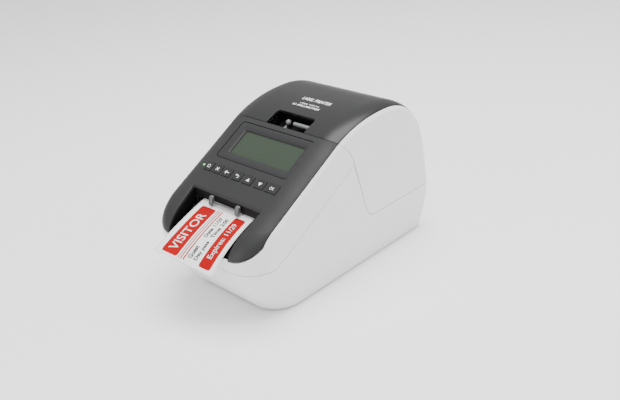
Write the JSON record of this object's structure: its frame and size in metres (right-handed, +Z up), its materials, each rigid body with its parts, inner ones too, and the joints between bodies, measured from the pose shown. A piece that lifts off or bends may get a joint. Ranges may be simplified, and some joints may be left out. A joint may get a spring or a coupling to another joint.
{
  "type": "label printer",
  "caption": "Desktop label printer: sloping control panel with display and keys, outlet with a printed label, and a rear-hinged lid over the label roll and print mechanism.",
  "frame": {"origin": "middle of the footprint on the desk, with the printed label counted in the footprint", "axes": "+Z up, the label comes out towards -Y, +X is the right-hand side seen from the front"},
  "size_m": [0.1254, 0.2526, 0.145],
  "materials": {
    "white_cover": "fine satin moulding",
    "panel_black": "fine matt moulding",
    "gloss_black": "polished",
    "inner_black": "matt",
    "grey_plastic": "satin",
    "gear_plastic": "natural acetal",
    "rubber": "matt",
    "steel": "satin",
    "aluminium": "extruded",
    "head_ceramic": "glazed",
    "board": "solder mask",
    "label_paper": "smooth",
    "cardboard": "raw",
    "display_glass": "clear window over a grey-green display",
    "led_green": "lit"
  },
  "bodies": {
    "base": {"base_cover": "white_cover", "foot_front_left": "rubber", "foot_rear_left": "rubber", "foot_front_right": "rubber", "foot_rear_right": "rubber", "power_inlet": "inner_black", "network_port": "steel", "usb_b_port": "steel", "usb_a_port": "steel", "front_cover": "white_cover", "front_panel": "panel_black", "lcd_window": "display_glass", "lcd_module": "grey_plastic", "status_led": "led_green", "panel_board": "board", "hinge_pin_left": "steel", "hinge_pin_right": "steel", "sight_tray": "inner_black", "sight_guide": "grey_plastic", "mechanism_frame": "steel", "feed_motor": "steel", "head_spring_left": "steel", "head_spring_right": "steel", "fixed_blade": "steel", "cutter_motor": "steel", "outlet_chute": "inner_black", "outlet_guide": "grey_plastic", "printed_label": "label_paper", "label_web": "label_paper", "spool_arm_left": "grey_plastic", "spool_arm_right": "grey_plastic", "roll_tray": "inner_black", "main_board": "board", "case_screw_front_left": "steel", "case_screw_rear_left": "steel", "case_screw_front_right": "steel", "case_screw_rear_right": "steel"},
    "lid": {"lid_top": "gloss_black", "lid_skirt": "white_cover", "lid_catch_left": "inner_black", "lid_catch_right": "inner_black"},
    "platen": {"platen_roller": "rubber", "platen_shaft": "steel", "platen_gear": "gear_plastic"},
    "idler": {"idler_gear": "gear_plastic"},
    "pinion": {"motor_pinion": "steel"},
    "head": {"print_head": "head_ceramic", "heat_sink": "aluminium"},
    "blade": {"moving_blade": "steel"},
    "crank": {"cutter_crank": "gear_plastic"},
    "roll": {"label_roll": "label_paper", "roll_core": "cardboard"},
    "power_button": {"power_button": "panel_black"},
    "cancel_button": {"cancel_button": "panel_black"},
    "feed_cut_button": {"feed_cut_button": "panel_black"},
    "back_button": {"back_button": "panel_black"},
    "up_button": {"up_button": "panel_black"},
    "down_button": {"down_button": "panel_black"},
    "ok_button": {"ok_button": "panel_black"}
  },
  "joints": [
    {"name": "lid_hinge", "type": "hinge", "parent": "base", "child": "lid", "pos_m": [0, 0.12325, 0.0515], "axis": [-1, 0, 0], "range_deg": [0, 75]},
    {"name": "roll_spin", "type": "hinge", "parent": "base", "child": "roll", "pos_m": [0, 0.06175, 0.066], "axis": [1, 0, 0], "continuous": true},
    {"name": "platen_spin", "type": "hinge", "parent": "base", "child": "platen", "pos_m": [0, -0.04875, 0.07529], "axis": [1, 0, 0], "continuous": true},
    {"name": "idler_spin", "type": "hinge", "parent": "base", "child": "idler", "pos_m": [0, -0.04117, 0.05447], "axis": [1, 0, 0], "continuous": true},
    {"name": "pinion_spin", "type": "hinge", "parent": "base", "child": "pinion", "pos_m": [0, -0.04587, 0.03694], "axis": [1, 0, 0], "continuous": true},
    {"name": "head_lift", "type": "hinge", "parent": "base", "child": "head", "pos_m": [0, -0.03675, 0.08549], "axis": [-1, 0, 0], "range_deg": [0, 4], "stiffness_Nm_per_rad": 0.05, "springref_deg": -2.86, "deforming": ["head_spring_left", "head_spring_right"]},
    {"name": "crank_turn", "type": "hinge", "parent": "base", "child": "crank", "pos_m": [0.016, -0.06625, 0.06178], "axis": [0, -1, 0], "range_deg": [0, 90]},
    {"name": "blade_slide", "type": "slide", "parent": "base", "child": "blade", "axis": [0, 0, 1], "range_m": [0, 0.00566]},
    {"name": "power_press", "type": "slide", "parent": "base", "child": "power_button", "axis": [0, 0.4924, -0.8704], "range_m": [0, 0.0008], "stiffness_N_per_m": 600, "springref_m": -0.0004},
    {"name": "cancel_press", "type": "slide", "parent": "base", "child": "cancel_button", "axis": [0, 0.4924, -0.8704], "range_m": [0, 0.0008], "stiffness_N_per_m": 600, "springref_m": -0.0004},
    {"name": "feed_cut_press", "type": "slide", "parent": "base", "child": "feed_cut_button", "axis": [0, 0.4924, -0.8704], "range_m": [0, 0.0008], "stiffness_N_per_m": 600, "springref_m": -0.0004},
    {"name": "back_press", "type": "slide", "parent": "base", "child": "back_button", "axis": [0, 0.4924, -0.8704], "range_m": [0, 0.0008], "stiffness_N_per_m": 600, "springref_m": -0.0004},
    {"name": "up_press", "type": "slide", "parent": "base", "child": "up_button", "axis": [0, 0.4924, -0.8704], "range_m": [0, 0.0008], "stiffness_N_per_m": 600, "springref_m": -0.0004},
    {"name": "down_press", "type": "slide", "parent": "base", "child": "down_button", "axis": [0, 0.4924, -0.8704], "range_m": [0, 0.0008], "stiffness_N_per_m": 600, "springref_m": -0.0004},
    {"name": "ok_press", "type": "slide", "parent": "base", "child": "ok_button", "axis": [0, 0.4924, -0.8704], "range_m": [0, 0.0008], "stiffness_N_per_m": 600, "springref_m": -0.0004}
  ],
  "couplings": [
    {"joint": "platen_spin", "follows": "roll_spin", "ratio": 6},
    {"joint": "idler_spin", "follows": "roll_spin", "ratio": -5},
    {"joint": "pinion_spin", "follows": "roll_spin", "ratio": 10},
    {"joint": "crank_turn", "follows": "blade_slide", "rad_per_m": 277.68}
  ]
}
